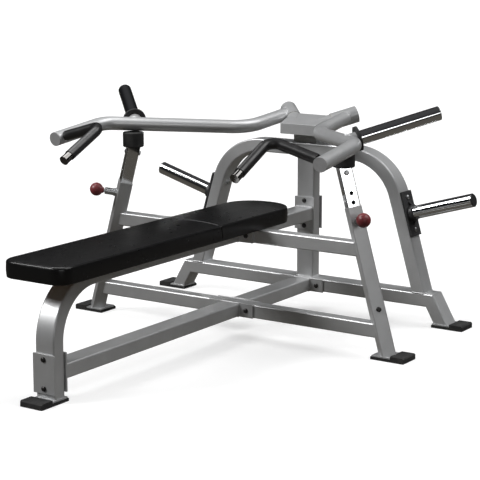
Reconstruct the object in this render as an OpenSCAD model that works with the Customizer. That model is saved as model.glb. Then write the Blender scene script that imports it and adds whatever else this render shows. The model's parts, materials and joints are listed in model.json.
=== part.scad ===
// Leverage bench press: a flat bench in a frame of rectangular steel tube, with two
// weight-loaded press arms that turn independently on slanted pivots above the column.
// Millimetres. X runs across the bench, Y from the foot end to the column, Z up.
// The origin is on the floor under the middle of the bounding box.
// Inside the modules Y is measured from the front face of the column, and paired
// pieces are drawn on the +X side, which is the right-hand side.

/* [Layout] */
// From the origin to the front face of the column
column_y = 729.8; // [700:0.1:760]
// From the front face of the leg to the front face of the column
bench_len = 1534; // [1450:2:1650]
// Height of the top of the bench rails
rail_top = 396; // [370:2:420]
// Height of the top of the base beams
base_top = 120; // [100:2:130]
// From the column to the cross beams
cross_gap = 455; // [400:5:480]

/* [Frame tube] */
// Wide side of the frame tube
tube_w = 75; // [65:1:80]
// Narrow side of the frame tube
tube_t = 50; // [45:1:55]
// Wall of the frame tube
tube_wall = 3; // [2:0.5:4]
// Outer corner radius of the frame tube
tube_round = 6; // [5:0.5:8]
// Bend radius between leg and rail, at the middle of the tube
leg_bend_r = 185; // [120:5:200]
// Thickness of the joint plates
plate_t = 6; // [4:1:8]

/* [Rear frame] */
// Height of the top of the rear cross beam
rear_top = 122; // [102:1:135]
// From the column's front face to the middle of the rear cross beam
rear_y = 22; // [12.5:0.5:30]
// Half width of the rear cross beam at its bend
rear_knee_x = 549; // [520:1:570]
// Half spread of the rear cross beam's feet
rear_foot_x = 596; // [580:1:604]
// Height of the top of the arch
arch_top = 645; // [625:5:665]
// Half width between the arch's corners, before rounding
arch_knee_x = 353; // [340:1:370]
// Half spread of the arch's legs on the rear cross beam
arch_foot_x = 501; // [480:1:505]
// Bend radius of the arch, at the middle of the tube
arch_bend_r = 205; // [170:5:230]

/* [Uprights and bumper posts] */
// Inward lean of the uprights, in degrees
lean = 16.1; // [14:0.1:17]
// Half spread of the upright axes at the floor
upright_x = 640; // [630:1:646]
// From the middle of the cross beams forward to the upright axes
upright_ahead = 9; // [0:1:12]
// Side of the square upright tube
upright_side = 50; // [48:1:54]
// Height of the open top of the uprights
upright_top = 515; // [500:1:530]
// Side gap between upright and bumper post
post_gap = 0.3; // [0.3:0.05:0.6]
// Height of the underside of the bumpers
bumper_z = 650; // [640:1:655]
// Height of the bumpers
bumper_h = 55; // [50:0.5:55]
// Radius of the bumpers
bumper_r = 39; // [30:1:42]

/* [Pivots] */
// Middle of the right pivot sleeve
pivot_mid = [119, 85, 738];
// Turn of the pivot axes away from the side, in degrees
pivot_turn = 45; // [43:1:47]
// Rise of the pivot axes, in degrees
pivot_rise = 15.7; // [14:0.1:17]
// Length of the pivot sleeves
sleeve_len = 98; // [90:1:104]
// Outer radius of the pivot sleeves
sleeve_r = 31.75; // [30:0.25:34]
// Radius of the pivot shafts
shaft_r = 12.5; // [10:0.5:15]

/* [Press arms] */
// Outer radius of the arm tube
arm_r = 25.4; // [22:0.1:26]
// Rear bend of the right arm, before rounding
arm_bend = [152, -168, 710.5];
// Elbow of the right arm, before rounding
arm_elbow = [539, -558, 739.5];
// Front end of the right arm
arm_front = [554, -812, 706.5];
// Bend radius at the rear bend
bend_r_rear = 190; // [120:5:220]
// Bend radius at the elbow
bend_r_elbow = 100; // [80:5:140]
// Corner of the right handle, before rounding
handle_corner = [350, -797, 768.5];
// Front end of the right handle
handle_front = [353, -1003, 669.5];
// Radius of the handle bar
handle_r = 16; // [14:0.5:17]
// Radius of the handle grip
grip_r = 18.5; // [18:0.5:21]

/* [Weight horns] */
// Radius of the horns, to suit plates with a 50 mm hole
horn_r = 25; // [12.5:0.5:25]
// Length of a weight horn from its collar's arm side
horn_len = 303; // [250:1:340]
// Radius of the collars that stop the plates
collar_r = 43; // [35:1:50]
// Upward tilt of the storage horns, in degrees
storage_tilt = 16.4; // [10:1:20]
// Length of a storage horn with its cap
storage_len = 263; // [200:1:280]

/* [Pad] */
// Width of the pad
pad_w = 252; // [240:2:300]
// Thickness of the pad
pad_t = 60; // [50:1:75]
// Overhang of the pad in front of the leg
pad_front = 56; // [30:1:80]
// From the rear end of the pad to the column
pad_gap = 247; // [200:1:300]

/* [Hidden] */
$fn = 64;
foot_base = 10;
foot_plate_t = 5;
foot_top = foot_base + foot_plate_t;
lap = 0.6;
seam = 0.05;
// Gap left around plugs, spigots and bolted faces
fit_gap = 0.1;
base_mid = base_top - tube_t / 2;
rail_mid = rail_top - tube_t / 2;
cross_y = -cross_gap - tube_t / 2;
leg_y = -bench_len + tube_t / 2;
upright_y = cross_y - upright_ahead;
bolt_r = 5;
bolt_hole_r = 5.3;
bolt_head_r = 9;
bolt_head_h = 6;
nut_h = 8;
// Bolt pairs: beside a beam on the cross beams, above and below a beam on leg and column
side_bolt = 66;
leg_bolt = 47;
column_bolt = 49;
side_plate_w = 190;
tall_plate_w = 86;
tall_plate_h = 127;
// Upright and post, in the upright's own leaning frame
upright_wall = 2;
post_side = upright_side - 2 * upright_wall - 2 * post_gap;
post_bottom = 310;
post_wall = 3;
stem_side = post_side - 2 * post_wall - 0.2;
stem_len = 46;
bumper_bolt_s = 629 / cos(lean);
stop_bolt_s = 169 / cos(lean);
pin_s = 487;
// Pull pin, measured outwards from the upright's face
pin_r = 6;
post_hole_r = 7;
post_hole_pitch = 32;
housing_r = 13;
housing_len = 44;
chamber_r = 10.2;
chamber_floor = 6;
chamber_lid = 4;
// The pin's collar rests on the floor of the chamber, under the spring
collar_low = chamber_floor + 0.2;
collar_high = collar_low + 3;
knob_r = 25;
knob_u = 77;
// Pivot, measured along the axis from the middle of the sleeve
pivot_axis = [
    cos(pivot_rise) * sin(pivot_turn),
    cos(pivot_rise) * cos(pivot_turn),
    sin(pivot_rise)
];
sleeve_in_r = sleeve_r - 5;
boss_r = 29;
boss_end = -sleeve_len / 2 - 1.5;
bush_len = 24;
bush_clear = 0.05;
arm_root_s = 14;
arm_wall = 3;
// The weight horn leaves the arm this share of the way from rear bend to elbow
horn_share = 0.778;
horn_start = arm_bend + (arm_elbow - arm_bend) * horn_share;
stub_len = 36;
collar_t = 10;
// Horns are turned down by this much where they enter a collar or a socket
spigot_step = 1;
horn_wall = 4;
// Handle leaves the arm's axis here
handle_start = [552, -783, 710.5];
handle_bend_r = 44;
handle_wall = 2.5;
grip_end = 30;
// Head box
head_tilt = 14.5;
head_front = -58;
head_back = 50;
head_low = 680;
head_h = 40;
// Arch legs
arch_mid = arch_top - tube_t / 2;
arch_slope = (arch_foot_x - arch_knee_x) / (arch_mid - rear_top);
arch_lean = atan(arch_slope);
arch_out = [cos(arch_lean), 0, sin(arch_lean)];
bracket_z = 402;
bracket_len = 170;
bracket_t = 8;
bracket_bolt = 62;
storage_dir = [cos(storage_tilt), 0, sin(storage_tilt)];
storage_cap_len = 3;
socket_h = 16;
socket_floor = bracket_t - 2;
// Board inside the pad
board_t = 12;
board_inset = 12;

// ---- placing ----

// Y is measured from the front face of the column
module right() {
    translate([0, column_y, 0]) children();
}

module left() {
    mirror([1, 0, 0]) right() children();
}

module both_sides() {
    children();
    mirror([1, 0, 0]) children();
}

// Places children with X along x, Y along y and the origin at p
module at_frame(p, x, y) {
    z = cross(x, y);
    multmatrix([
        [x[0], y[0], z[0], p[0]],
        [x[1], y[1], z[1], p[1]],
        [x[2], y[2], z[2], p[2]]
    ]) children();
}

function unit(v) = v / norm(v);
function square_to(v, d) = unit(v - d * (v * d));
function pick_side(d) = abs(d[1]) < 0.9 ? [0, 1, 0] : [1, 0, 0];

// Z of the children runs along d from p, and Y lies as near to n as it can
module along(p, d, n) {
    y = square_to(n, d);
    at_frame(p, cross(y, d), y) children();
}

module rod(p, d, from, to, r) {
    along(p + d * from, d, pick_side(d)) cylinder(h = to - from, r = r);
}

// Everything on the far side of the plane through p with normal n
module beyond(p, n) {
    reach = 1200;
    along(p, n, pick_side(n)) translate([-reach / 2, -reach / 2, 0]) cube(reach);
}

// ---- sections and swept tubes ----

module rounded_rect(a, b, r) {
    square([a - 2 * r, b], center = true);
    square([a, b - 2 * r], center = true);
    for (i = [-1, 1]) {
        for (j = [-1, 1]) {
            translate([i * (a / 2 - r), j * (b / 2 - r)]) circle(r);
        }
    }
}

module box_section(a, b, r, wall) {
    difference() {
        rounded_rect(a, b, r);
        rounded_rect(a - 2 * wall, b - 2 * wall, max(r - wall, 1));
    }
}

module frame_section() {
    box_section(tube_t, tube_w, tube_round, tube_wall);
}

// A straight length between two points; the section's Y lies along n
module straight(from, to, n) {
    d = unit(to - from);
    along(from, d, n) linear_extrude(norm(to - from)) children();
}

function dir(p, i) = unit(p[i + 1] - p[i]);
function turn(p, i) = acos(dir(p, i - 1) * dir(p, i));
function cut_back(p, r, i) = r[i] == 0 ? 0 : r[i] * tan(turn(p, i) / 2);

// Sweeps a section along points p, with bend radius r[i] at each point.
// The section's X lies in the plane of the bends and its Y along n.
// Bends lap over the straights by lap and are drawn seam thicker, in $grow.
module run(p, r, n, past) {
    last = len(p) - 2;
    for (i = [0 : last]) {
        d = dir(p, i);
        from = i == 0 ? -past : cut_back(p, r, i) - lap;
        to = norm(p[i + 1] - p[i]) + (i == last ? past : lap - cut_back(p, r, i + 1));
        along(p[i] + d * from, d, n) linear_extrude(to - from) let($grow = 0) children();
    }
    for (i = [1 : 1 : last]) {
        in = dir(p, i - 1);
        centre = p[i] + unit(dir(p, i) - in) * r[i] / cos(turn(p, i) / 2);
        start = p[i] - in * cut_back(p, r, i);
        lap_turn = lap / r[i] * 180 / PI;
        at_frame(centre, unit(start - centre), in) rotate([0, 0, -lap_turn])
            rotate_extrude(angle = turn(p, i) + 2 * lap_turn) translate([r[i], 0])
                let($grow = seam) children();
    }
}

// Sweeps the space between two sections: children are the outer and the inner one
module run_hollow(p, r, n) {
    difference() {
        run(p, r, n, 0) children(0);
        run(p, r, n, lap) children(1);
    }
}

module run_frame_tube(p, r, n) {
    run_hollow(p, r, n) {
        rounded_rect(tube_t + 2 * $grow, tube_w + 2 * $grow, tube_round);
        rounded_rect(tube_t - 2 * tube_wall + 2 * $grow, tube_w - 2 * tube_wall + 2 * $grow, tube_round - tube_wall);
    }
}

module run_ring(p, r, n, outer, inner) {
    run_hollow(p, r, n) {
        circle(outer + $grow);
        circle(inner + $grow);
    }
}

// ---- bolts and plates ----

// Bolt along d: head under from, nut past to
module bolt(p, d, from, to) {
    rod(p, d, from, to, bolt_r);
    along(p + d * (from - bolt_head_h), d, pick_side(d)) bolt_head();
    along(p + d * to, d, pick_side(d)) {
        cylinder(h = nut_h, r = bolt_head_r, $fn = 6);
    }
}

// Domed head with its top at zero and its seat at bolt_head_h
module bolt_head() {
    dome = bolt_head_h / 3;
    rotate_extrude() polygon([
        [0, 0], [bolt_head_r - 2 * dome, 0], [bolt_head_r - dome / 2, dome],
        [bolt_head_r, 2 * dome], [bolt_head_r, bolt_head_h], [0, bolt_head_h]
    ]);
}

module leg_bolt_places() {
    for (z = [-leg_bolt, leg_bolt]) translate([0, -bench_len, base_mid + z]) children();
}

module column_bolt_places() {
    for (z = [-column_bolt, column_bolt]) translate([0, 0, rail_mid + z]) children();
}

module side_bolt_places(y, z) {
    for (x = [-side_bolt, side_bolt]) translate([x, y, z]) children();
}

module bolt_hole_y() {
    translate([0, -20, 0]) rotate([-90, 0, 0]) cylinder(h = 120, r = bolt_hole_r);
}

module plate_y(w, h, y, z) {
    translate([-w / 2, y, z - h / 2]) cube([w, plate_t, h]);
}

module side_plate(y, z) {
    difference() {
        plate_y(side_plate_w, tube_t, y, z);
        side_bolt_places(y, z) bolt_hole_y();
    }
}

module leg_plate(y) {
    difference() {
        plate_y(tall_plate_w, tall_plate_h, y, base_mid);
        leg_bolt_places() bolt_hole_y();
    }
}

module column_plate(y) {
    difference() {
        plate_y(tall_plate_w, tall_plate_h, y, rail_mid);
        column_bolt_places() bolt_hole_y();
    }
}

// ---- frame ----

module lengthwise(from, to, z) {
    straight([0, from, z], [0, to, z], [1, 0, 0]) frame_section();
}

// Leg, bend and front rail in one bent tube, with the plate that meets the cross beam
module front_rail() {
    end = -cross_gap - tube_t - plate_t;
    color("silver") {
        difference() {
            run_frame_tube(
                [[0, leg_y, foot_top], [0, leg_y, rail_mid], [0, end, rail_mid]],
                [0, leg_bend_r, 0], [1, 0, 0]
            );
            leg_bolt_places() bolt_hole_y();
        }
        side_plate(end, rail_mid);
    }
}

module rear_rail() {
    color("silver") {
        side_plate(-cross_gap, rail_mid);
        lengthwise(-cross_gap + plate_t, -plate_t, rail_mid);
        column_plate(-plate_t);
    }
}

module front_base_beam() {
    start = -bench_len + tube_t;
    end = -cross_gap - tube_t - plate_t;
    color("silver") {
        leg_plate(start);
        lengthwise(start + plate_t, end, base_mid);
        side_plate(end, base_mid);
    }
}

module rear_base_beam() {
    end = rear_y - tube_w / 2 - plate_t;
    color("silver") {
        side_plate(-cross_gap, base_mid);
        lengthwise(-cross_gap + plate_t, end, base_mid);
        side_plate(end, base_mid);
    }
}

// Crosswise square tube, notched over the uprights at both ends
module cross_beam(z) {
    half = upright_x - tan(lean) * z - upright_side / 4;
    difference() {
        straight([-half, cross_y, z], [half, cross_y, z], [0, 1, 0])
            box_section(tube_t, tube_t, tube_round, tube_wall);
        both_sides() upright_envelope(0);
        side_bolt_places(cross_y - tube_t / 2, z) bolt_hole_y();
    }
}

module upper_cross_beam() {
    color("silver") cross_beam(rail_mid);
}

module lower_cross_beam() {
    color("silver") cross_beam(base_mid);
}

rear_knee = [rear_knee_x, rear_y, rear_top - tube_t / 2];
rear_foot = [rear_foot_x, rear_y, foot_top];
rear_rake = unit(rear_foot - rear_knee);
rear_mitre = unit([1, 0, 0] + rear_rake);

module rear_cross_leg() {
    difference() {
        straight(rear_knee - rear_rake * tube_w, rear_foot + rear_rake * tube_w, [0, 1, 0])
            box_section(tube_t - 2 * seam, tube_w - 2 * seam, tube_round, tube_wall);
        beyond(rear_knee - rear_mitre * lap / 2, -rear_mitre);
        beyond(rear_foot, [0, 0, -1]);
    }
}

// A level tube with a raking leg mitred to each end
module rear_cross_beam() {
    past = [tube_w, 0, 0];
    flip = [-1, 1, 1];
    left_knee = [for (i = [0 : 2]) rear_knee[i] * flip[i]];
    color("silver") difference() {
        union() {
            difference() {
                straight(left_knee - past, rear_knee + past, [0, 1, 0]) frame_section();
                both_sides() beyond(rear_knee + rear_mitre * lap / 2, rear_mitre);
            }
            both_sides() rear_cross_leg();
        }
        side_bolt_places(rear_y - tube_w / 2, base_mid) bolt_hole_y();
    }
}

module column() {
    color("silver") difference() {
        straight([0, tube_t / 2, rear_top], [0, tube_t / 2, arch_top - tube_t], [1, 0, 0])
            frame_section();
        column_bolt_places() bolt_hole_y();
    }
}

module arch() {
    past = 40;
    foot = [arch_foot_x + arch_slope * past, rear_y, rear_top - past];
    knee = [arch_knee_x, rear_y, arch_mid];
    flip = [-1, 1, 1];
    color("silver") difference() {
        run_frame_tube(
            [[for (i = [0 : 2]) foot[i] * flip[i]], [for (i = [0 : 2]) knee[i] * flip[i]], knee, foot],
            [0, arch_bend_r, arch_bend_r, 0], [0, 1, 0]
        );
        beyond([0, rear_y, rear_top], [0, 0, -1]);
        both_sides() bracket_bolt_places() bracket_bolt_hole();
    }
}

module clamp_plates() {
    color("silver") {
        leg_plate(-bench_len - plate_t);
        column_plate(tube_t);
    }
}

module frame_bolts() {
    grip = tube_t + 2 * plate_t;
    color("dimgray") {
        leg_bolt_places() bolt([0, 0, 0], [0, 1, 0], -plate_t, tube_t + plate_t);
        column_bolt_places() bolt([0, 0, 0], [0, 1, 0], -plate_t, tube_t + plate_t);
        for (z = [base_mid, rail_mid]) {
            side_bolt_places(-cross_gap - grip + plate_t, z) bolt([0, 0, 0], [0, 1, 0], 0, grip);
        }
        side_bolt_places(rear_y - tube_w / 2, base_mid) bolt([0, 0, 0], [0, 1, 0], -plate_t, tube_w);
        both_sides() upright_frame()
            bolt([0, 0, stop_bolt_s], -pin_dir, -upright_side / 2, upright_side / 2);
    }
}

// ---- feet ----

// Local X runs from the inner end of the foot to its outer end
module shoe(length, width, cap) {
    rim = 20;
    bevel = 4;
    difference() {
        translate([0, width / 2, 0]) rotate([90, 0, 0]) linear_extrude(width) polygon([
            [0, 0], [length, 0], [length, rim - bevel], [length - bevel, rim],
            [length - cap, rim], [length - cap, foot_base], [0, foot_base]
        ]);
        foot_plate(length, width);
    }
}

module foot_plate(length, width) {
    edge = 3;
    translate([edge, -width / 2 + edge, foot_base])
        cube([length - 3 * edge, width - 2 * edge, foot_plate_t]);
}

module foot_places() {
    front_len = 129;
    side_len = 128;
    width = 88;
    cap = 52;
    translate([0, -bench_len + tube_t + 10, 0]) rotate([0, 0, -90]) foot(front_len, width, cap);
    both_sides() {
        translate([upright_x - 51, upright_y + 6, 0]) foot(side_len, width, cap);
        translate([rear_foot_x - 33, rear_y, 0]) foot(side_len - 3, width, cap);
    }
}

module foot_plates() {
    color("silver") foot_places_of("plate");
}

// The shoes' caps are notched round the uprights
module foot_shoes() {
    color("black") difference() {
        foot_places_of("shoe");
        both_sides() difference() {
            upright_envelope(post_gap);
            beyond([upright_x, upright_y, foot_top - fit_gap], [0, 0, -1]);
        }
    }
}

module foot_places_of(piece) {
    foot_places($piece = piece);
}

module foot(length, width, cap) {
    if ($piece == "plate") {
        foot_plate(length, width);
    } else {
        shoe(length, width, cap);
    }
}

// ---- uprights, bumper posts and pull pins ----

// Outward and forward, square to the outer face of the upright, in its own frame
pin_dir = [sin(45), -sin(45), 0];

module upright_frame() {
    translate([upright_x, upright_y, 0]) rotate([0, -lean, 0]) children();
}

module upright_envelope(grow) {
    side = upright_side + 2 * grow;
    upright_frame() rotate([0, 0, 45]) translate([0, 0, -50]) linear_extrude(800)
        rounded_rect(side, side, 4);
}

module upright() {
    top = upright_top / cos(lean);
    face = upright_side / 2;
    color("silver") difference() {
        upright_frame() difference() {
            rotate([0, 0, 45]) translate([0, 0, -50]) linear_extrude(top + 50)
                box_section(upright_side, upright_side, 4, upright_wall);
            rod([0, 0, pin_s], pin_dir, 0, face + 5, pin_r + 0.1);
            rod([0, 0, stop_bolt_s], pin_dir, -face - 5, face + 5, bolt_hole_r);
        }
        beyond([upright_x, upright_y, foot_top], [0, 0, -1]);
    }
}

module bumper_post() {
    top = bumper_z / cos(lean) + post_side;
    face = post_side / 2;
    color("gainsboro") difference() {
        upright_frame() difference() {
            rotate([0, 0, 45]) translate([0, 0, post_bottom]) linear_extrude(top - post_bottom)
                box_section(post_side, post_side, 3, post_wall);
            for (i = [0 : 3]) {
                rod([0, 0, pin_s + i * post_hole_pitch], pin_dir, 0, face + 5, post_hole_r);
            }
            rod([0, 0, bumper_bolt_s], pin_dir, -face - 5, face + 5, bolt_hole_r);
        }
        beyond([upright_x, upright_y, bumper_z], [0, 0, 1]);
    }
}

module bumper() {
    bevel = 3;
    color("black") {
        translate([upright_x - tan(lean) * bumper_z, upright_y, bumper_z]) rotate_extrude() polygon([
            [0, 0], [bumper_r - bevel, 0], [bumper_r, bevel], [bumper_r, bumper_h - bevel],
            [bumper_r - bevel, bumper_h], [0, bumper_h]
        ]);
        difference() {
            upright_frame() difference() {
                rotate([0, 0, 45]) translate([0, 0, bumper_z / cos(lean) - stem_len])
                    linear_extrude(stem_len + stem_side) rounded_rect(stem_side, stem_side, 2);
                rod([0, 0, bumper_bolt_s], pin_dir, -stem_side, stem_side, bolt_hole_r);
            }
            beyond([upright_x, upright_y, bumper_z], [0, 0, 1]);
        }
    }
}

module bumper_bolt() {
    face = post_side / 2;
    color("dimgray") upright_frame() bolt([0, 0, bumper_bolt_s], -pin_dir, -face, face);
}

// Places children with Z along the pull pin, zero at the upright's outer face
module pin_frame() {
    upright_frame() along([0, 0, pin_s] + pin_dir * upright_side / 2, pin_dir, [0, 0, 1]) children();
}

module pin_housing() {
    nut_len = 10;
    nut_r = 15;
    color("dimgray") pin_frame() difference() {
        union() {
            cylinder(h = nut_len, r = nut_r);
            cylinder(h = housing_len, r = housing_r);
        }
        translate([0, 0, -1]) cylinder(h = housing_len + 2, r = pin_r + 0.1);
        translate([0, 0, chamber_floor])
            cylinder(h = housing_len - chamber_floor - chamber_lid, r = chamber_r);
    }
}

module pull_pin() {
    color("silver") pin_frame() {
        translate([0, 0, -upright_wall + post_gap]) cylinder(h = knob_u + upright_wall - 10, r = pin_r);
        translate([0, 0, collar_low]) cylinder(h = collar_high - collar_low, r = chamber_r - 0.5);
    }
}

module pull_knob() {
    color("maroon") pin_frame() difference() {
        union() {
            translate([0, 0, knob_u]) sphere(knob_r);
            translate([0, 0, knob_u - knob_r - 2]) cylinder(h = knob_r, r = 11);
        }
        translate([0, 0, 40]) cylinder(h = knob_u - 10 - 40 + post_gap, r = pin_r);
    }
}

// Coil spring drawn as evenly spaced rings between the pin's collar and the lid
module pin_spring() {
    wire = 1;
    coils = 8;
    low = collar_high + wire + 0.3;
    high = housing_len - chamber_lid - wire - 0.3;
    color("silver") pin_frame() for (i = [0 : coils - 1]) {
        translate([0, 0, low + (high - low) * i / (coils - 1)])
            rotate_extrude() translate([chamber_r - wire - 1, 0]) circle(wire, $fn = 24);
    }
}

// ---- pivot head ----

function head_outline(inset) =
    let(
        front = 78 - inset,
        side = 86 - inset,
        back = 58 - inset
    )
    [
        [-front, head_front + inset], [front, head_front + inset], [side, 10],
        [back, head_back - inset], [-back, head_back - inset], [-side, 10]
    ];

module pivot_head() {
    neck_w = 100;
    neck_front = -5;
    color("silver") difference() {
        union() {
            head_block(0);
            difference() {
                translate([-neck_w / 2, neck_front, arch_top]) cube([neck_w, tube_t - neck_front, 80]);
                head_top_half();
            }
            both_sides() rod(pivot_mid, pivot_axis, boss_end - 50, boss_end, boss_r);
        }
        both_sides() rod(pivot_mid, pivot_axis, boss_end - 60, boss_end + 1, shaft_r);
    }
}

// The head box: its outline between two planes that rise to the rear
module head_block(inset) {
    tall = 200;
    difference() {
        translate([0, 0, head_low - 40]) linear_extrude(tall) polygon(head_outline(inset));
        beyond([0, head_front, head_low + head_h], [0, -sin(head_tilt), cos(head_tilt)]);
        beyond([0, head_front, head_low], [0, sin(head_tilt), -cos(head_tilt)]);
    }
}

module head_top_half() {
    beyond([0, head_front, head_low + head_h / 2], [0, -sin(head_tilt), cos(head_tilt)]);
}

module pivot_shaft() {
    color("gainsboro") difference() {
        rod(pivot_mid, pivot_axis, boss_end - 50, sleeve_len / 2 - 11, shaft_r);
        rod(pivot_mid, pivot_axis, sleeve_len / 2 - 36, sleeve_len / 2, bolt_r);
    }
}

// Washer and bolt that keep the sleeve on its shaft
module pivot_fastener() {
    seat = sleeve_len / 2 - 11;
    washer_t = 3;
    rod(pivot_mid, pivot_axis, seat, seat + washer_t, 20);
    rod(pivot_mid, pivot_axis, seat - 20, seat, bolt_r);
    along(pivot_mid + pivot_axis * (seat + washer_t), pivot_axis, pick_side(pivot_axis))
        cylinder(h = 6, r = bolt_head_r, $fn = 6);
}

// The zinc plated bolts of pivots and storage brackets
module zinc_fasteners() {
    color("dimgray") both_sides() {
        pivot_fastener();
        bracket_bolt_places() bolt([0, 0, 0], [0, 0, -1], -bracket_t, tube_t);
    }
}

module pivot_sleeve() {
    color("silver") difference() {
        rod(pivot_mid, pivot_axis, -sleeve_len / 2, sleeve_len / 2, sleeve_r);
        rod(pivot_mid, pivot_axis, -sleeve_len, sleeve_len, sleeve_in_r);
    }
}

// Two flanged bushes; the inner flange is the thrust face against the boss
module pivot_bushes() {
    half = sleeve_len / 2;
    outer_end = half - 14;
    color("ivory") difference() {
        union() {
            rod(pivot_mid, pivot_axis, -half, -half + bush_len, sleeve_in_r);
            rod(pivot_mid, pivot_axis, -half - 1.2, -half, boss_r);
            rod(pivot_mid, pivot_axis, outer_end - bush_len, outer_end, sleeve_in_r);
        }
        rod(pivot_mid, pivot_axis, -sleeve_len, sleeve_len, shaft_r + bush_clear);
    }
}

// ---- press arms ----

arm_points = [pivot_mid + pivot_axis * arm_root_s, arm_bend, arm_elbow, arm_front];
arm_radii = [0, bend_r_rear, bend_r_elbow, 0];

module arm_envelope() {
    run(arm_points, arm_radii, [0, 0, 1], 0) circle(arm_r + $grow);
}

module press_arm() {
    color("silver") difference() {
        union() {
            arm_envelope();
            rod(horn_start, pivot_axis, 0, stub_len, arm_r);
        }
        run(arm_points, arm_radii, [0, 0, 1], lap) circle(arm_r - arm_wall + $grow);
        rod(pivot_mid, pivot_axis, -2 * sleeve_len, 2 * sleeve_len, sleeve_r);
    }
}

// Discs that close the sleeve's outer end and the arm's front end
module arm_plugs() {
    half = sleeve_len / 2;
    front_dir = unit(arm_front - arm_elbow);
    inner_r = arm_r - arm_wall - fit_gap;
    color("gray") {
        rod(pivot_mid, pivot_axis, half, half + 2.5, sleeve_r);
        difference() {
            rod(pivot_mid, pivot_axis, half - 4, half, sleeve_in_r - fit_gap);
            rod(pivot_mid, pivot_axis, half - 5, half + 1, sleeve_in_r - 3);
        }
        rod(arm_front, front_dir, 0, 4, arm_r);
        rod(arm_front, front_dir, -12, 0, inner_r);
    }
}

handle_points = [handle_start, handle_corner, handle_front];

module handle_bar() {
    color("gainsboro") difference() {
        run_ring(handle_points, [0, handle_bend_r, 0], [0, 0, 1], handle_r, handle_r - handle_wall);
        arm_envelope();
    }
}

module handle_grip() {
    from = handle_start + dir(handle_points, 0) * (arm_r + 3);
    to = handle_front - dir(handle_points, 1) * grip_end;
    color("black")
        run_ring([from, handle_corner, to], [0, handle_bend_r, 0], [0, 0, 1], grip_r, handle_r);
}

module handle_cap() {
    d = dir(handle_points, 1);
    color("gainsboro") {
        rod(handle_front, d, 0, 4, handle_r + 1);
        rod(handle_front, d, -12, 0, handle_r - handle_wall - fit_gap);
    }
}

module horn_collar() {
    color("black") difference() {
        rod(horn_start, pivot_axis, stub_len, stub_len + collar_t, collar_r);
        rod(horn_start, pivot_axis, stub_len - 1, stub_len + collar_t + 1, horn_r - spigot_step + fit_gap);
    }
}

module weight_horn() {
    horn_tube(horn_start, pivot_axis, stub_len, stub_len + collar_t, stub_len + horn_len);
}

// A horn open at its outer end, turned down between root and seat
module horn_tube(p, d, root, seat, end) {
    floor_t = 5;
    color("gainsboro") difference() {
        union() {
            rod(p, d, root, seat + 1, horn_r - spigot_step);
            rod(p, d, seat, end, horn_r);
        }
        rod(p, d, root + floor_t, end + 1, horn_r - horn_wall);
    }
}

module horn_cap() {
    end = stub_len + horn_len;
    color("black") {
        rod(horn_start, pivot_axis, end, end + 2, horn_r - 1);
        rod(horn_start, pivot_axis, end - 15, end, horn_r - horn_wall - fit_gap);
    }
}

// ---- plate storage ----

// A point on the middle of the arch leg's outer face at height z
function leg_face(z) =
    [arch_foot_x - arch_slope * (z - rear_top), rear_y, z] + arch_out * tube_t / 2;

// Z out of the leg's outer face, Y along the row's Y, origin in the middle of the bracket
module bracket_frame() {
    along(leg_face(bracket_z), arch_out, [0, 1, 0]) children();
}

module bracket_bolt_places() {
    bracket_frame() for (x = [-bracket_bolt, bracket_bolt]) translate([x, 0, 0]) children();
}

module bracket_bolt_hole() {
    translate([0, 0, -tube_t - 10]) cylinder(h = tube_t + bracket_t + 20, r = bolt_hole_r);
}

module storage_bracket() {
    socket_r = horn_r + 6;
    web_top = bracket_t + socket_h - 1;
    color("black") difference() {
        union() {
            bracket_frame() {
                translate([-bracket_len / 2, -tube_w / 2, fit_gap])
                    cube([bracket_len, tube_w, bracket_t - fit_gap]);
                translate([0, 4, 0]) rotate([90, 0, 0]) linear_extrude(8) polygon([
                    [-socket_r - 16, bracket_t], [socket_r + 16, bracket_t],
                    [socket_r - 4, web_top], [-socket_r + 4, web_top]
                ]);
            }
            difference() {
                rod(leg_face(bracket_z), storage_dir, 0, bracket_t + socket_h, socket_r);
                beyond(leg_face(bracket_z) + arch_out * bracket_t / 2, -arch_out);
            }
        }
        rod(leg_face(bracket_z), storage_dir, socket_floor, storage_len, horn_r - spigot_step + fit_gap);
        bracket_bolt_places() bracket_bolt_hole();
    }
}

module storage_horn() {
    end = bracket_t + storage_len - storage_cap_len;
    horn_tube(leg_face(bracket_z), storage_dir, socket_floor + fit_gap, bracket_t + socket_h, end);
}

module storage_horn_cap() {
    end = bracket_t + storage_len;
    mouth = end - storage_cap_len;
    rod(leg_face(bracket_z), storage_dir, mouth, end, horn_r - 3);
    rod(leg_face(bracket_z), storage_dir, mouth - 15, mouth, horn_r - horn_wall - fit_gap);
}

module storage_horn_caps() {
    color("black") both_sides() storage_horn_cap();
}

// ---- pad ----

// Pad outline seen from above, grown by grow: tighter corners at the foot end
module pad_outline(grow) {
    half = pad_w / 2 + grow;
    front = -bench_len - pad_front - grow;
    rear = -pad_gap + grow;
    front_r = 45 + grow;
    rear_r = 115 + grow;
    translate([-half, front + front_r]) square([2 * half, rear - rear_r - front - front_r]);
    translate([-half + front_r, front]) square([2 * (half - front_r), front_r + 1]);
    translate([-half + rear_r, rear - rear_r - 1]) square([2 * (half - rear_r), rear_r + 1]);
    for (i = [-1, 1]) {
        translate([i * (half - front_r), front + front_r]) circle(front_r);
        translate([i * (half - rear_r), rear - rear_r]) circle(rear_r);
    }
}

module pad_board() {
    color("burlywood") translate([0, 0, rail_top]) linear_extrude(board_t) pad_outline(-board_inset);
}

module seat_pad() {
    color("black") difference() {
        translate([0, 0, rail_top + 0.5]) linear_extrude(pad_t - 0.5) pad_outline(0);
        translate([0, 0, rail_top - 1]) linear_extrude(board_t + 1) pad_outline(-board_inset);
    }
}

// ---- the nodes ----

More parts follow.
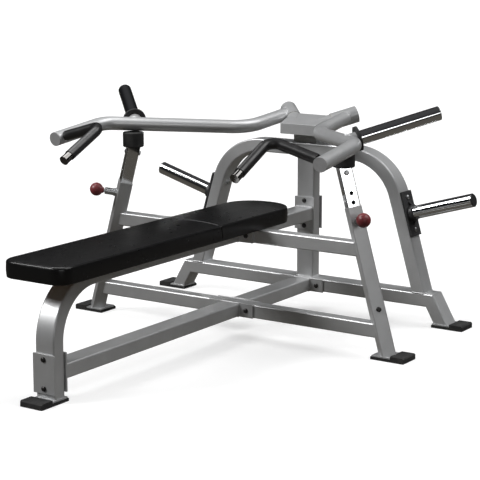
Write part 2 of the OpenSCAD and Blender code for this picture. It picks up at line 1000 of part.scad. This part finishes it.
right() front_rail();
right() rear_rail();
right() front_base_beam();
right() rear_base_beam();
right() upper_cross_beam();
right() lower_cross_beam();
right() rear_cross_beam();
right() column();
right() arch();
right() pivot_head();
left() pivot_shaft();  // left_pivot_shaft
right() pivot_shaft();  // right_pivot_shaft
right() zinc_fasteners();
left() upright();  // left_upright
right() upright();  // right_upright
right() clamp_plates();
right() foot_plates();
right() foot_shoes();
left() storage_bracket();  // left_storage_bracket
right() storage_bracket();  // right_storage_bracket
left() storage_horn();  // left_storage_horn
right() storage_horn();  // right_storage_horn
right() storage_horn_caps();
right() seat_pad();
right() pad_board();
right() frame_bolts();
left() pin_housing();  // left_pin_housing
right() pin_housing();  // right_pin_housing
left() pin_spring();  // left_pin_spring
right() pin_spring();  // right_pin_spring
left() pull_pin();  // left_pull_pin
right() pull_pin();  // right_pull_pin
left() pull_knob();  // left_pull_knob
right() pull_knob();  // right_pull_knob
left() bumper_post();  // left_bumper_post
right() bumper_post();  // right_bumper_post
left() bumper();  // left_bumper
right() bumper();  // right_bumper
left() bumper_bolt();  // left_bumper_bolt
right() bumper_bolt();  // right_bumper_bolt
left() press_arm();  // left_press_arm
right() press_arm();  // right_press_arm
left() pivot_sleeve();  // left_pivot_sleeve
right() pivot_sleeve();  // right_pivot_sleeve
left() pivot_bushes();  // left_pivot_bushes
right() pivot_bushes();  // right_pivot_bushes
left() arm_plugs();  // left_arm_plugs
right() arm_plugs();  // right_arm_plugs
left() handle_bar();  // left_handle_bar
right() handle_bar();  // right_handle_bar
left() handle_grip();  // left_handle_grip
right() handle_grip();  // right_handle_grip
left() handle_cap();  // left_handle_cap
right() handle_cap();  // right_handle_cap
left() horn_collar();  // left_horn_collar
right() horn_collar();  // right_horn_collar
left() weight_horn();  // left_weight_horn
right() weight_horn();  // right_weight_horn
left() horn_cap();  // left_horn_cap
right() horn_cap();  // right_horn_cap
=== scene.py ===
"""Looks of the leverage bench press: materials, bench pad, weld beads, light and camera.

Metres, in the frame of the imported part: X across the bench, Y from the foot end to the column, Z up.
"""
import json
import math
import bpy
import bmesh
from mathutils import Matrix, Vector, noise


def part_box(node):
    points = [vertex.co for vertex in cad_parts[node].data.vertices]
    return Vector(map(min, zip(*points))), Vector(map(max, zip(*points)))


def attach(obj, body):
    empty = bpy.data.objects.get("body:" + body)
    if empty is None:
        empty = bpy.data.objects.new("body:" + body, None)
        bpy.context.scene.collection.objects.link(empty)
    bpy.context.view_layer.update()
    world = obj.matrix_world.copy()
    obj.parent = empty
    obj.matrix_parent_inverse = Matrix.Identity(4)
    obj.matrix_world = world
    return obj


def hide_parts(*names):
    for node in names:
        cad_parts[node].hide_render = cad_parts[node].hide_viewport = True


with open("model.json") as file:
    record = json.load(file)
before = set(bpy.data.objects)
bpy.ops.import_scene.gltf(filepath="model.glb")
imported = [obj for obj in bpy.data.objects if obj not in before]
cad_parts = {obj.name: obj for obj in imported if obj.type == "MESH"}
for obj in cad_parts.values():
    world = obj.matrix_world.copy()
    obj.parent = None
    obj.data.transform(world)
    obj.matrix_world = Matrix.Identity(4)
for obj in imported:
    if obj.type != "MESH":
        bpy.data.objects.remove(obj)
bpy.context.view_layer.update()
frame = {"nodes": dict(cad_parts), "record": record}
MM = 0.001


# ---- materials ----

WAVE_PHASE = 20  # radians that the wave texture turns through in a metre, at scale 1


class Look:
    """A node material: the shader's constants first, then what varies over the surface."""

    def __init__(self, name, color, **constants):
        self.material = bpy.data.materials.new(name)
        self.material.use_nodes = True
        self.tree = self.material.node_tree
        self.shader = self.tree.nodes["Principled BSDF"]
        self.shader.inputs["Base Color"].default_value = (*color, 1)
        for key, value in constants.items():
            socket = "Specular IOR Level" if key == "specular" else key.replace("_", " ").title()
            self.shader.inputs[socket].default_value = value
        self.place = self.node("ShaderNodeTexCoord").outputs["Object"]

    def node(self, kind, settings=None, **inputs):
        made = self.tree.nodes.new(kind)
        for name, value in (settings or {}).items():
            setattr(made, name, value)
        for name, value in inputs.items():
            self.feed(made.inputs[name.replace("_", " ")], value)
        return made

    def feed(self, socket, value):
        if isinstance(value, bpy.types.NodeSocket):
            self.tree.links.new(value, socket)
        else:
            socket.default_value = value

    def noise(self, size, detail=2.0, stretch=(1, 1, 1)):
        """Noise from 0 to 1 whose features are about size metres across."""
        scaled = self.node("ShaderNodeMapping", Vector=self.place, Scale=stretch).outputs[0]
        made = self.node("ShaderNodeTexNoise", Vector=scaled, Scale=1 / size, Detail=detail)
        return made.outputs["Fac"]

    def cells(self, size, feature="F1"):
        """Rounded cells about size metres across, as distance from their middles."""
        made = self.node("ShaderNodeTexVoronoi", {"feature": feature}, Vector=self.place, Scale=1 / size)
        return made.outputs["Distance"]

    def bands(self, size, axis, distortion):
        """Light and dark bands across an axis, each size metres thick."""
        made = self.node("ShaderNodeTexWave", {"bands_direction": axis}, Vector=self.place,
                         Scale=1 / size / WAVE_PHASE * math.pi, Distortion=distortion, Detail=2.0)
        return made.outputs["Fac"]

    def spread(self, value, low, high, start=0.0, end=1.0):
        """Maps value from start..end to low..high."""
        made = self.node("ShaderNodeMapRange", Value=value)
        for name, number in (("From Min", start), ("From Max", end), ("To Min", low), ("To Max", high)):
            made.inputs[name].default_value = number
        return made.outputs["Result"]

    def blend(self, share, first, second):
        """Colour that goes from first to second as share goes from 0 to 1."""
        made = self.node("ShaderNodeMix", {"data_type": "RGBA"})
        self.feed(made.inputs["Factor"], share)
        self.feed(made.inputs[6], (*first, 1) if isinstance(first, tuple) else first)
        self.feed(made.inputs[7], (*second, 1) if isinstance(second, tuple) else second)
        return made.outputs[2]

    def times(self, first, second):
        made = self.node("ShaderNodeMath", {"operation": "MULTIPLY"})
        self.feed(made.inputs[0], first)
        self.feed(made.inputs[1], second)
        return made.outputs[0]

    def color(self, value):
        self.feed(self.shader.inputs["Base Color"], value)

    def roughness(self, value):
        self.feed(self.shader.inputs["Roughness"], value)

    def bumps(self, *layers, edge=0.0):
        """Each layer is a height from 0 to 1 and the metres that it stands for."""
        normal = self.node("ShaderNodeBevel", {"samples": 4}, Radius=edge).outputs[0] if edge else None
        for height, depth in layers:
            made = self.node("ShaderNodeBump", Height=height, Distance=depth)
            if normal:
                self.feed(made.inputs["Normal"], normal)
            normal = made.outputs[0]
        self.feed(self.shader.inputs["Normal"], normal)


def silver_paint(name):
    """Powder coat with fine metal flake, orange peel and a clear coat."""
    look = Look(name, (0.5, 0.505, 0.51), metallic=0.55, roughness=0.4,
                coat_weight=0.45, coat_roughness=0.08)
    flake = look.spread(look.cells(0.6 * MM), 0.86, 1.12, 0.1, 0.9)
    cloud = look.noise(60 * MM)
    look.color(look.blend(look.times(cloud, flake), (0.46, 0.465, 0.47), (0.56, 0.565, 0.57)))
    look.roughness(look.spread(look.noise(9 * MM, 4), 0.36, 0.46))
    look.bumps((look.noise(2.2 * MM, 2), 0.035 * MM), (look.noise(0.7 * MM, 1), 0.012 * MM),
               edge=0.9 * MM)
    return look.material


def chrome(name, color=(0.83, 0.84, 0.85)):
    look = Look(name, color, metallic=1.0, roughness=0.06)
    smudge = look.noise(35 * MM, 5)
    look.roughness(look.spread(smudge, 0.045, 0.085, 0.35, 0.75))
    look.bumps((look.noise(0.25 * MM, 2), 0.002 * MM), edge=0.6 * MM)
    return look.material


def bare_steel(name, color, low, high):
    """Uncoated or zinc-plated steel whose roughness varies from low to high."""
    look = Look(name, color, metallic=1.0, roughness=low)
    look.roughness(look.spread(look.noise(4 * MM, 4), low, high))
    dark = tuple(0.82 * c for c in color)
    look.color(look.blend(look.noise(12 * MM, 3), dark, color))
    look.bumps((look.noise(0.4 * MM, 2), 0.008 * MM), edge=0.5 * MM)
    return look.material


def black_paint(name):
    look = Look(name, (0.02, 0.02, 0.021), roughness=0.4, specular=0.5)
    look.color(look.blend(look.noise(30 * MM, 3), (0.024, 0.024, 0.025), (0.042, 0.042, 0.044)))
    look.roughness(look.spread(look.noise(5 * MM, 3), 0.33, 0.48))
    look.bumps((look.noise(1.4 * MM, 2), 0.03 * MM), edge=0.8 * MM)
    return look.material


def black_oxide(name):
    look = Look(name, (0.035, 0.034, 0.034), metallic=0.75, roughness=0.36)
    look.roughness(look.spread(look.noise(2 * MM, 3), 0.28, 0.5))
    look.color(look.blend(look.noise(5 * MM, 3), (0.025, 0.024, 0.024), (0.06, 0.058, 0.056)))
    look.bumps((look.noise(0.5 * MM, 2), 0.01 * MM), edge=0.5 * MM)
    return look.material


def rubber(name, shade, grain, depth):
    """Grained rubber with a little dust on it."""
    look = Look(name, (shade,) * 3, roughness=0.7, specular=0.4)
    dust = look.spread(look.noise(22 * MM, 5), 0, 1, 0.45, 0.8)
    look.color(look.blend(dust, (shade, shade, shade * 1.02), (shade * 2.1, shade * 2.05, shade * 2.0)))
    look.roughness(look.spread(look.noise(6 * MM, 3), 0.6, 0.85))
    look.bumps((look.cells(grain), depth), (look.noise(grain * 3, 3), depth), edge=0.8 * MM)
    return look.material


def grip_rubber(name):
    """Soft grip: a fine pebble that the hands have polished a little."""
    look = Look(name, (0.012, 0.012, 0.013), roughness=0.3, specular=0.6)
    worn = look.noise(40 * MM, 3)
    look.color(look.blend(worn, (0.009, 0.009, 0.01), (0.018, 0.017, 0.017)))
    look.roughness(look.spread(worn, 0.27, 0.42, 0.3, 0.7))
    look.bumps((look.cells(1.3 * MM, "SMOOTH_F1"), 0.08 * MM), (look.noise(0.5 * MM, 2), 0.015 * MM))
    return look.material


def moulded(name, color, rough, coat=0.0):
    look = Look(name, color, roughness=rough, coat_weight=coat, coat_roughness=0.1)
    deep = tuple(0.8 * c for c in color)
    look.color(look.blend(look.noise(18 * MM, 3), deep, color))
    look.roughness(look.spread(look.noise(3 * MM, 4), rough * 0.85, rough * 1.2))
    look.bumps((look.noise(0.8 * MM, 3), 0.015 * MM), edge=0.5 * MM)
    return look.material


def vinyl(name):
    """Upholstery vinyl: pebbled leather grain with finer pores and a soft sheen."""
    look = Look(name, (0.005, 0.005, 0.0052), roughness=0.3, specular=0.4)
    cloud = look.noise(90 * MM, 3)
    look.color(look.blend(cloud, (0.004, 0.004, 0.0042), (0.0065, 0.0063, 0.0065)))
    look.roughness(look.spread(look.noise(25 * MM, 4), 0.24, 0.34))
    look.bumps((look.noise(14 * MM, 2), 0.12 * MM), (look.cells(1.5 * MM, "SMOOTH_F1"), 0.11 * MM),
               (look.noise(0.5 * MM, 2), 0.03 * MM))
    return look.material


def plywood(name):
    look = Look(name, (0.55, 0.38, 0.21), roughness=0.6)
    plies = look.bands(2.4 * MM, "Z", 0.6)
    grain = look.noise(3 * MM, 5, (1, 0.06, 1))
    wood = look.blend(grain, (0.36, 0.22, 0.11), (0.62, 0.44, 0.26))
    look.color(look.blend(look.spread(plies, 0, 0.55), wood, (0.30, 0.17, 0.08)))
    look.roughness(look.spread(grain, 0.5, 0.75))
    look.bumps((grain, 0.12 * MM))
    return look.material


LOOKS = {
    "frame": silver_paint("silver_powder_coat"),
    "arm_paint": silver_paint("silver_powder_coat_arm"),
    "shaft": bare_steel("ground_steel", (0.56, 0.56, 0.57), 0.16, 0.3),
    "zinc_bolt": bare_steel("zinc_bolt", (0.58, 0.59, 0.60), 0.28, 0.45),
    "zinc_pin": bare_steel("zinc_pin", (0.60, 0.61, 0.62), 0.2, 0.36),
    "spring": bare_steel("spring_wire", (0.46, 0.45, 0.44), 0.25, 0.4),
    "foot_rubber": rubber("shoe_rubber", 0.018, 1.1 * MM, 0.09 * MM),
    "black_steel": black_paint("black_powder_coat"),
    "chrome": chrome("storage_chrome"),
    "chrome_post": chrome("post_chrome"),
    "horn_chrome": chrome("horn_chrome"),
    # Painted shade: a darkened copy of the chrome, about a sixth as bright, so the handle ends show dark
    # reflections instead of the key light's bright glare
    "handle_chrome": chrome("handle_chrome", (0.16, 0.155, 0.15)),
    "black_plastic": moulded("cap_plastic", (0.022, 0.022, 0.023), 0.42),
    "plug_grey": moulded("disc_grey", (0.36, 0.36, 0.365), 0.45),
    "bush_nylon": moulded("bush_nylon", (0.62, 0.59, 0.52), 0.5),
    "vinyl": vinyl("black_vinyl"),
    "plywood": plywood("pad_plywood"),
    "black_bolt": black_oxide("black_oxide_bolt"),
    "knob": moulded("knob_red", (0.2, 0.03, 0.035), 0.42, 0.12),
    "bumper_rubber": rubber("bumper_rubber", 0.014, 1.6 * MM, 0.1 * MM),
    "grip_foam": grip_rubber("grip_rubber"),
    "collar_rubber": rubber("collar_rubber", 0.016, 1.4 * MM, 0.08 * MM),
}


def paint_cad_nodes():
    for row in frame["record"]["subparts"]:
        mesh = frame["nodes"][row["node"]].data
        mesh.materials.clear()
        mesh.materials.append(LOOKS[row["material_slot"]])


# ---- mesh helpers ----

def add_piece(name, mesh, body, slot):
    """Smooth piece with the look of its slot, carried by a body."""
    piece = bpy.data.objects.new(name, mesh)
    bpy.context.scene.collection.objects.link(piece)
    mesh.materials.append(LOOKS[slot])
    for face in mesh.polygons:
        face.use_smooth = True
    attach(piece, body)
    return piece


def grid_mesh(name, rows):
    """Skins closed rows of equally many points."""
    count = len(rows[0])
    faces = []
    for i in range(len(rows) - 1):
        for j in range(count):
            k = (j + 1) % count
            faces.append((i * count + j, i * count + k, (i + 1) * count + k, (i + 1) * count + j))
    mesh = bpy.data.meshes.new(name)
    mesh.from_pydata([tuple(p) for row in rows for p in row], [], faces)
    made = bmesh.new()
    made.from_mesh(mesh)
    bmesh.ops.remove_doubles(made, verts=made.verts, dist=0.02 * MM)
    bmesh.ops.dissolve_degenerate(made, edges=made.edges, dist=0.01 * MM)
    bmesh.ops.recalc_face_normals(made, faces=made.faces)
    made.to_mesh(mesh)
    made.free()
    return mesh


# ---- bench pad ----

PAD_FRONT_CORNER = 52 * MM
PAD_REAR_CORNER = 115 * MM
PAD_EDGE = 7 * MM  # rounding along the top edge
PAD_FOLD = 3 * MM  # rounding along the bottom edge
PAD_CROWN = 4 * MM
PAD_BULGE = 1.6 * MM  # how far the sides stand out halfway up
PAD_WRAP = 12 * MM  # vinyl folded under, up to the board
BOARD_GAP = 0.4 * MM
SHOULDER = 0.12  # share of the way to the spine over which pushes turn from outward to upward
PUCKER = 0.25 * MM

SEAM_FROM_FRONT = 845 * MM
SEAM_BOW = 14 * MM
SEAM_BOW_REACH = 120 * MM
GROOVE_DEPTH = 2.6 * MM
GROOVE_WIDTH = 1.9 * MM
SWELL = 0.6 * MM  # low ridge along each side of the seam
SWELL_OFFSET = 9 * MM
SWELL_WIDTH = 7 * MM
SEAM_PITCH = 1.2 * MM  # mesh spacing beside the seam
SEAM_POINTS = 16  # of those points on each side of it


def pad_stations(low, high):
    """Y of the points along one side, closer together beside the sewn seam."""
    seam = low.y + SEAM_FROM_FRONT
    first, last = low.y + PAD_FRONT_CORNER, high.y - PAD_REAR_CORNER
    stations = {first, last}
    steps = 90
    stations.update(first + (last - first) * i / steps for i in range(steps + 1))
    stations.update(seam + SEAM_PITCH * i for i in range(-SEAM_POINTS, SEAM_POINTS + 1))
    return sorted(stations)


def pad_outline(low, high):
    """Points round the pad, seen from above, from the foot end's left corner anticlockwise."""
    half = (high.x - low.x) / 2
    arc_steps = 14
    side = pad_stations(low, high)
    front, rear = PAD_FRONT_CORNER, PAD_REAR_CORNER
    across = [i / 16 for i in range(17)]

    def arc(cx, cy, r, start):
        turns = [math.radians(start + 90 * i / arc_steps) for i in range(1, arc_steps)]
        return [(cx + r * math.cos(turn), cy + r * math.sin(turn)) for turn in turns]

    points = []
    points += arc(-half + front, low.y + front, front, 180)
    points += [(-half + front + (2 * half - 2 * front) * t, low.y) for t in across]
    points += arc(half - front, low.y + front, front, 270)
    points += [(half, y) for y in side]
    points += arc(half - rear, high.y - rear, rear, 0)
    points += [(half - rear - (2 * half - 2 * rear) * t, high.y) for t in across]
    points += arc(-half + rear, high.y - rear, rear, 90)
    points += [(-half, y) for y in reversed(side)]
    return points


def make_pad():
    """Crowned vinyl cushion with a sewn seam across it, wrapped round the edge of its board."""
    low, high = map(Vector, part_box("seat_pad"))
    board_high = Vector(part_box("pad_board")[1])
    half = (high.x - low.x) / 2
    seam_y = low.y + SEAM_FROM_FRONT
    outline = pad_outline(low, high)

    def inset(point, share):
        """Point that is share of the way from the outline to the pad's spine."""
        x, y = point
        spine = min(max(y, low.y + half), high.y - half)
        return x * (1 - share), y + (spine - y) * share

    def flat_row(share, z):
        return [Vector((*inset(point, share), z)) for point in outline]

    def shaped(point, share, z, puff=0.0):
        """Point on the sides or the top, with the seam, its ridges and the vinyl's puckers."""
        x, y = inset(point, share)
        from_seam = y - seam_y
        bow = SEAM_BOW * (0.35 - (x / half) ** 2) * math.exp(-(from_seam / SEAM_BOW_REACH) ** 2)
        top = (z - low.z) / (high.z - low.z)
        groove = math.exp(-(from_seam / GROOVE_WIDTH) ** 2) * min(1, max(0, top * 3))
        swell = SWELL * math.exp(-((abs(from_seam) - SWELL_OFFSET) / SWELL_WIDTH) ** 2)
        pucker = PUCKER * noise.noise(Vector((x * 70, y * 40, z * 70)))
        out = Vector((x, y, 0)) - Vector((*inset(point, 1), 0))
        out = out.normalized() if out.length > 1e-6 else Vector((0, 0, 0))
        lift = Vector((0, 0, 1))
        if share <= SHOULDER:
            lift = (out + lift * (share / SHOULDER)).normalized()
        moved = lift * (puff + swell * top + pucker * top - GROOVE_DEPTH * groove)
        return Vector((x, y + bow * top, z)) + moved

    # The underside, from the middle of the board's pocket out to the bottom edge
    pocket_top = board_high.z + BOARD_GAP
    wrap = (PAD_WRAP - BOARD_GAP) / half
    rows = [flat_row(share, pocket_top) for share in (1.0, 0.8, 0.6, 0.4, 0.25, wrap)]
    rows.append(flat_row(wrap, low.z + PAD_FOLD / 2))
    rows.append(flat_row(wrap * 0.9, low.z))
    rows.append(flat_row(wrap * 0.4, low.z))
    for step in range(4):
        turn = math.radians(30 * step)
        share = PAD_FOLD * (1 - math.sin(turn)) / half
        rows.append(flat_row(share, low.z + PAD_FOLD * (1 - math.cos(turn))))

    # The sides
    side_foot = low.z + PAD_FOLD
    side_top = high.z - PAD_CROWN - PAD_EDGE
    steps = 10
    for step in range(1, steps + 1):
        z = side_foot + (side_top - side_foot) * step / steps
        bulge = PAD_BULGE * math.sin(math.pi * step / (steps + 1))
        rows.append([shaped(point, 0, z, bulge) for point in outline])

    # The rounded top edge, and the crown up to the spine
    steps = 8
    for step in range(1, steps + 1):
        turn = math.radians(90 * step / steps)
        share = PAD_EDGE * (1 - math.cos(turn)) / half
        z = side_top + PAD_EDGE * math.sin(turn)
        rows.append([shaped(point, share, z) for point in outline])
    start = PAD_EDGE / half
    steps = 26
    for step in range(1, steps + 1):
        share = start + (1 - start) * step / steps
        rise = PAD_CROWN * (1 - (1 - step / steps) ** 2)
        rows.append([shaped(point, share, high.z - PAD_CROWN + rise) for point in outline])

    pad = add_piece("bench_pad", grid_mesh("bench_pad", rows), "frame", "vinyl")
    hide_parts("seat_pad")


# ---- weld beads ----

WELD_RADIUS = 2.6 * MM
WELD_STEP = 1.3 * MM
WELD_SIDES = 8
RIPPLE_STEPS = 4  # rings of the bead in one ripple
PLATE_T = 6 * MM
TUBE_WIDE = 75 * MM
TUBE_THIN = 50 * MM
TUBE_ROUND = 6 * MM
LEG_CUT = 1.043  # a leaning arch leg's level cut is this much wider than the tube
ARM_RADIUS = 25.4 * MM
SLEEVE_RADIUS = 31.75 * MM
# The right arm between its two bends: its direction, and how far behind the horn the rear bend lies
ARM_RUN = Vector((387, -390, 29)).normalized()
HORN_BEHIND = 428 * MM
ARM_ROOT = 14 * MM  # the arm's axis leaves the pivot's axis this far out from the sleeve's middle
HORN_ROOT = 192.5 * MM  # from the middle of the horn's free length back to the arm's axis
RIGHT = Vector((1, 0, 0))
BACK = Vector((0, 1, 0))
UP = Vector((0, 0, 1))


def evenly(points, step):
    """Points about step apart along the closed line through points."""
    ends = points[1:] + points[:1]
    lengths = [(b - a).length for a, b in zip(points, ends)]
    count = max(12, round(sum(lengths) / step))
    pitch = sum(lengths) / count
    made, travelled, i = [], 0.0, 0
    for k in range(count):
        while travelled + lengths[i] < k * pitch:
            travelled += lengths[i]
            i += 1
        made.append(points[i].lerp(ends[i], (k * pitch - travelled) / lengths[i]))
    return made


def round_box_path(centre, across, along, width, depth, corner=TUBE_ROUND):
    """Outline of a tube's section, square to across and along."""
    points = []
    for quarter, (sx, sy) in enumerate(((1, 1), (-1, 1), (-1, -1), (1, -1))):
        middle = centre + across * sx * (width / 2 - corner) + along * sy * (depth / 2 - corner)
        for i in range(7):
            turn = math.radians(90 * quarter + 15 * i)
            points.append(middle + (across * math.cos(turn) + along * math.sin(turn)) * corner)
    return points


def saddle_path(start, heading, radius, on_axis, axis, axis_radius):
    """Where a round tube along heading from start comes out of a tube round the line on_axis, axis."""
    side = heading.orthogonal().normalized()
    other = heading.cross(side)
    offset = start - on_axis
    points = []
    steps = 96
    for i in range(steps):
        turn = math.tau * i / steps
        rim = offset + (side * math.cos(turn) + other * math.sin(turn)) * radius
        slope = heading - axis * heading.dot(axis)
        rest = rim - axis * rim.dot(axis)
        a, b, c = slope.dot(slope), slope.dot(rest), rest.dot(rest) - axis_radius ** 2
        reach = (-b + math.sqrt(max(0, b * b - a * c))) / a
        points.append(on_axis + rim + heading * reach)
    return points


def add_welds(name, paths, body, slot):
    """Rippled beads along closed paths, as one piece."""
    verts = []
    faces = []
    sides = WELD_SIDES
    for path in paths:
        path = evenly(path, WELD_STEP)
        centre = sum(path, Vector()) / len(path)
        count, base = len(path), len(verts)
        for i, point in enumerate(path):
            ahead = (path[(i + 1) % count] - path[i - 1]).normalized()
            out = point - centre
            out = (out - ahead * out.dot(ahead)).normalized()
            over = ahead.cross(out)
            ripple = 0.13 * math.sin(math.tau * i / RIPPLE_STEPS)
            size = WELD_RADIUS * (1 + ripple + 0.1 * noise.noise(point * 90))
            for j in range(sides):
                turn = math.tau * j / sides
                verts.append(point + (out * math.cos(turn) + over * math.sin(turn)) * size)
        for i in range(count):
            for j in range(sides):
                a, b = base + i * sides, base + (i + 1) % count * sides
                k = (j + 1) % sides
                faces.append((a + j, a + k, b + k, b + j))
    mesh = bpy.data.meshes.new(name)
    mesh.from_pydata([tuple(v) for v in verts], [], faces)
    add_piece(name, mesh, body, slot)


def frame_weld_paths():
    """Round the ends of the beams and rails, the column and the feet of the arch."""
    paths = []

    def lengthwise(y, z):
        """Bead round the end of a tube that runs along Y."""
        paths.append(round_box_path(Vector((0, y, z)), RIGHT, UP, TUBE_WIDE, TUBE_THIN))

    for node in ("front_base_beam", "rear_rail", "rear_base_beam"):
        low, high = map(Vector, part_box(node))
        z = (low.z + high.z) / 2
        lengthwise(low.y + PLATE_T, z)
        lengthwise(high.y - PLATE_T, z)
    high = Vector(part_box("front_rail")[1])
    lengthwise(high.y - PLATE_T, high.z - TUBE_THIN / 2)
    low, high = map(Vector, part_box("column"))
    middle = (low + high) / 2
    paths.append(round_box_path(Vector((0, middle.y, low.z)), RIGHT, BACK, TUBE_WIDE, TUBE_THIN))
    paths.append(round_box_path(Vector((0, middle.y, high.z)), RIGHT, BACK, TUBE_WIDE, TUBE_THIN))
    low, high = map(Vector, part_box("arch"))
    leg_width = TUBE_THIN * LEG_CUT
    for x in (low.x + leg_width / 2, high.x - leg_width / 2):
        foot = Vector((x, (low.y + high.y) / 2, low.z))
        paths.append(round_box_path(foot, RIGHT, BACK, leg_width, TUBE_WIDE))
    return paths


def arm_weld_paths(side):
    """Round the horn's stub on the arm, and round the arm on its pivot sleeve."""
    flip = Vector((1 if side == "right" else -1, 1, 1))
    horn = next(m for m in frame["record"]["mounts"] if m["name"] == side + "_weight_horn")
    lift = next(j for j in frame["record"]["behaviour"]["joints"] if j["name"] == side + "_arm_lift")
    horn_axis = Vector(horn["axis"])
    run = ARM_RUN * flip
    on_arm = Vector(horn["pos_m"]) - horn_axis * HORN_ROOT
    pivot, pivot_axis = Vector(lift["pos_m"]), Vector(lift["axis"]).normalized()
    outward = pivot_axis if pivot_axis.dot(horn_axis) > 0 else -pivot_axis
    root = pivot + outward * ARM_ROOT
    rear_bend = on_arm - run * HORN_BEHIND
    return [
        saddle_path(on_arm, horn_axis, ARM_RADIUS, on_arm, run, ARM_RADIUS),
        saddle_path(root, (rear_bend - root).normalized(), ARM_RADIUS, pivot, pivot_axis, SLEEVE_RADIUS),
    ]


def make_welds():
    add_welds("frame_welds", frame_weld_paths(), "frame", "frame")
    for side in ("left", "right"):
        add_welds(side + "_arm_welds", arm_weld_paths(side), side + "_arm", "arm_paint")


# ---- floor, light and camera ----

def make_floor():
    """Bright studio floor, hidden from mirrored and bounced light."""
    size = 60
    corners = [(-size, -size, 0), (size, -size, 0), (size, size, 0), (-size, size, 0)]
    mesh = bpy.data.meshes.new("floor")
    mesh.from_pydata(corners, [], [(0, 1, 2, 3)])
    floor = bpy.data.objects.new("floor", mesh)
    bpy.context.scene.collection.objects.link(floor)
    look = Look("studio_floor", (0.5, 0.5, 0.5), roughness=0.9, specular=0.1,
                emission_color=(1, 1, 1, 1), emission_strength=0.56)
    look.color(look.blend(look.noise(2.5, 2), (0.49, 0.49, 0.49), (0.51, 0.51, 0.51)))
    mesh.materials.append(look.material)
    floor.visible_glossy = False
    floor.visible_diffuse = False


def make_sky():
    """Studio surround: a dark room over a dull brown-grey floor, as polished metal mirrors it."""
    world = bpy.data.worlds.new("studio")
    bpy.context.scene.world = world
    world.use_nodes = True
    nodes, links = world.node_tree.nodes, world.node_tree.links
    place = nodes.new("ShaderNodeTexCoord")
    split = nodes.new("ShaderNodeSeparateXYZ")
    ramp = nodes.new("ShaderNodeValToRGB")
    spread = nodes.new("ShaderNodeMapRange")
    links.new(place.outputs["Generated"], split.inputs[0])
    links.new(split.outputs["Z"], spread.inputs["Value"])
    spread.inputs["From Min"].default_value = -1
    links.new(spread.outputs["Result"], ramp.inputs["Fac"])
    links.new(ramp.outputs["Color"], nodes["Background"].inputs["Color"])
    stops = (
        (0.0, (0.10, 0.092, 0.08)), (0.40, (0.08, 0.074, 0.064)), (0.47, (0.04, 0.038, 0.035)),
        (0.51, (0.01, 0.01, 0.011)), (0.66, (0.012, 0.012, 0.013)), (0.8, (0.04, 0.04, 0.042)),
        (1.0, (0.06, 0.06, 0.062)),
    )
    for i, (at, level) in enumerate(stops):
        stop = ramp.color_ramp.elements[i] if i < 2 else ramp.color_ramp.elements.new(at)
        stop.position = at
        stop.color = (*level, 1)


def make_sun(name, toward, strength, spread, mirrored=True):
    """A distant soft light that shines from the direction toward."""
    sun = bpy.data.lights.new(name, "SUN")
    sun.energy = strength
    sun.angle = math.radians(spread)
    lamp = bpy.data.objects.new(name, sun)
    lamp.rotation_mode = "QUATERNION"
    lamp.rotation_quaternion = Vector(toward).to_track_quat("Z", "Y")
    lamp.visible_glossy = mirrored
    bpy.context.scene.collection.objects.link(lamp)


def make_softbox(name, place, aim, size, power):
    """A square soft light close above the machine, so that its upper parts are the brightest."""
    box = bpy.data.lights.new(name, "AREA")
    box.size = size
    box.energy = power
    lamp = bpy.data.objects.new(name, box)
    lamp.location = place
    lamp.rotation_mode = "QUATERNION"
    lamp.rotation_quaternion = (Vector(place) - Vector(aim)).to_track_quat("Z", "Y")
    bpy.context.scene.collection.objects.link(lamp)


def make_camera():
    azimuth, elevation = math.radians(33.9), math.radians(11.3)
    aim, distance = Vector((0.133, 0.082, 0.386)), 5.465
    back = Vector((math.sin(azimuth) * math.cos(elevation),
                   -math.cos(azimuth) * math.cos(elevation), math.sin(elevation)))
    data = bpy.data.cameras.new("camera")
    data.lens = 117.9
    data.sensor_width = 36
    camera = bpy.data.objects.new("camera", data)
    camera.location = aim + back * distance
    camera.rotation_mode = "QUATERNION"
    camera.rotation_quaternion = (-back).to_track_quat("-Z", "Y")
    bpy.context.scene.collection.objects.link(camera)
    bpy.context.scene.camera = camera


make_camera()
make_floor()
make_sky()
make_sun("key", (-0.52, -0.58, 0.63), 2.3, 22)
make_sun("back", (0.35, 0.7, 0.62), 2.0, 60, mirrored=False)
make_sun("top_right", (0.5, 0.3, 0.81), 1.3, 40)
make_sun("camera_side", (0.74, -0.63, 0.22), 0.22, 17)
make_softbox("softbox", (-0.6, -0.1, 2.0), (0.05, 0.1, 0.7), 1.0, 14)
bpy.context.scene.view_settings.view_transform = "Standard"
paint_cad_nodes()
make_pad()
make_welds()
